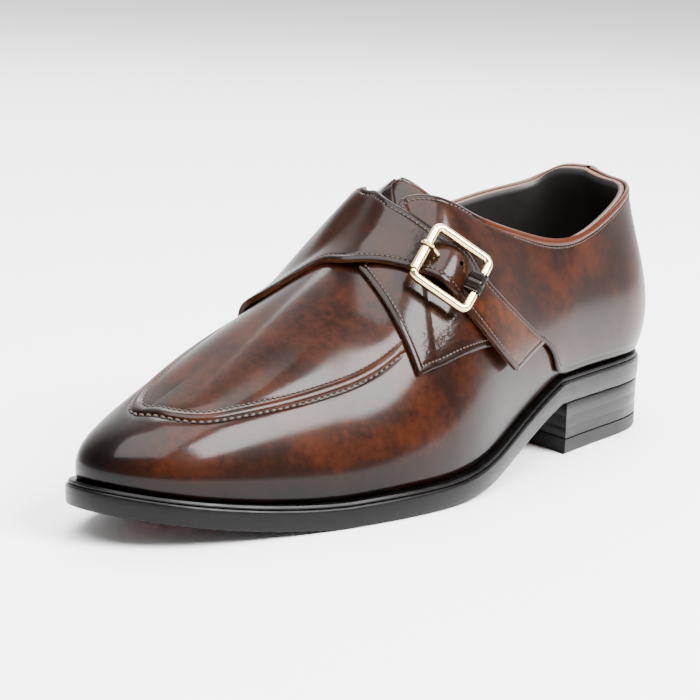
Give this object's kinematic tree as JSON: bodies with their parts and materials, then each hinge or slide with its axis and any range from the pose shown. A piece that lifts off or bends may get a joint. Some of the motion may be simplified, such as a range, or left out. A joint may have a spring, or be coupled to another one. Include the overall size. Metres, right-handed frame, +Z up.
{
  "type": "shoe",
  "caption": "Monk strap shoe for the left foot in burnished brown leather, with a pale brass buckle, raised apron seam, long almond toe, black leather sole and low heel.",
  "frame": {"origin": "on the floor under the middle of the heel, where the heel's top piece rests", "axes": "+X runs to the toe, +Y to the outer side of the left foot, +Z up; the shoe stands on its heel and forefoot"},
  "size_m": [0.2906, 0.0953, 0.1045],
  "materials": {
    "brown_calf": "burnished",
    "tan_calf": "burnished",
    "black_leather": "polished",
    "insole_leather": "matt",
    "heel_rubber": "matt",
    "pale_brass": "polished"
  },
  "bodies": {
    "root": {"upper": "brown_calf", "tongue": "brown_calf", "outer_quarter": "brown_calf", "inner_quarter": "brown_calf", "strap": "tan_calf", "back_strip": "brown_calf", "buckle_chape": "brown_calf", "buckle_frame": "pale_brass", "buckle_roller": "pale_brass", "buckle_prong": "pale_brass", "welt": "black_leather", "outsole": "black_leather", "heel_block": "black_leather", "heel_top_piece": "heel_rubber", "insole": "insole_leather"}
  },
  "joints": []
}
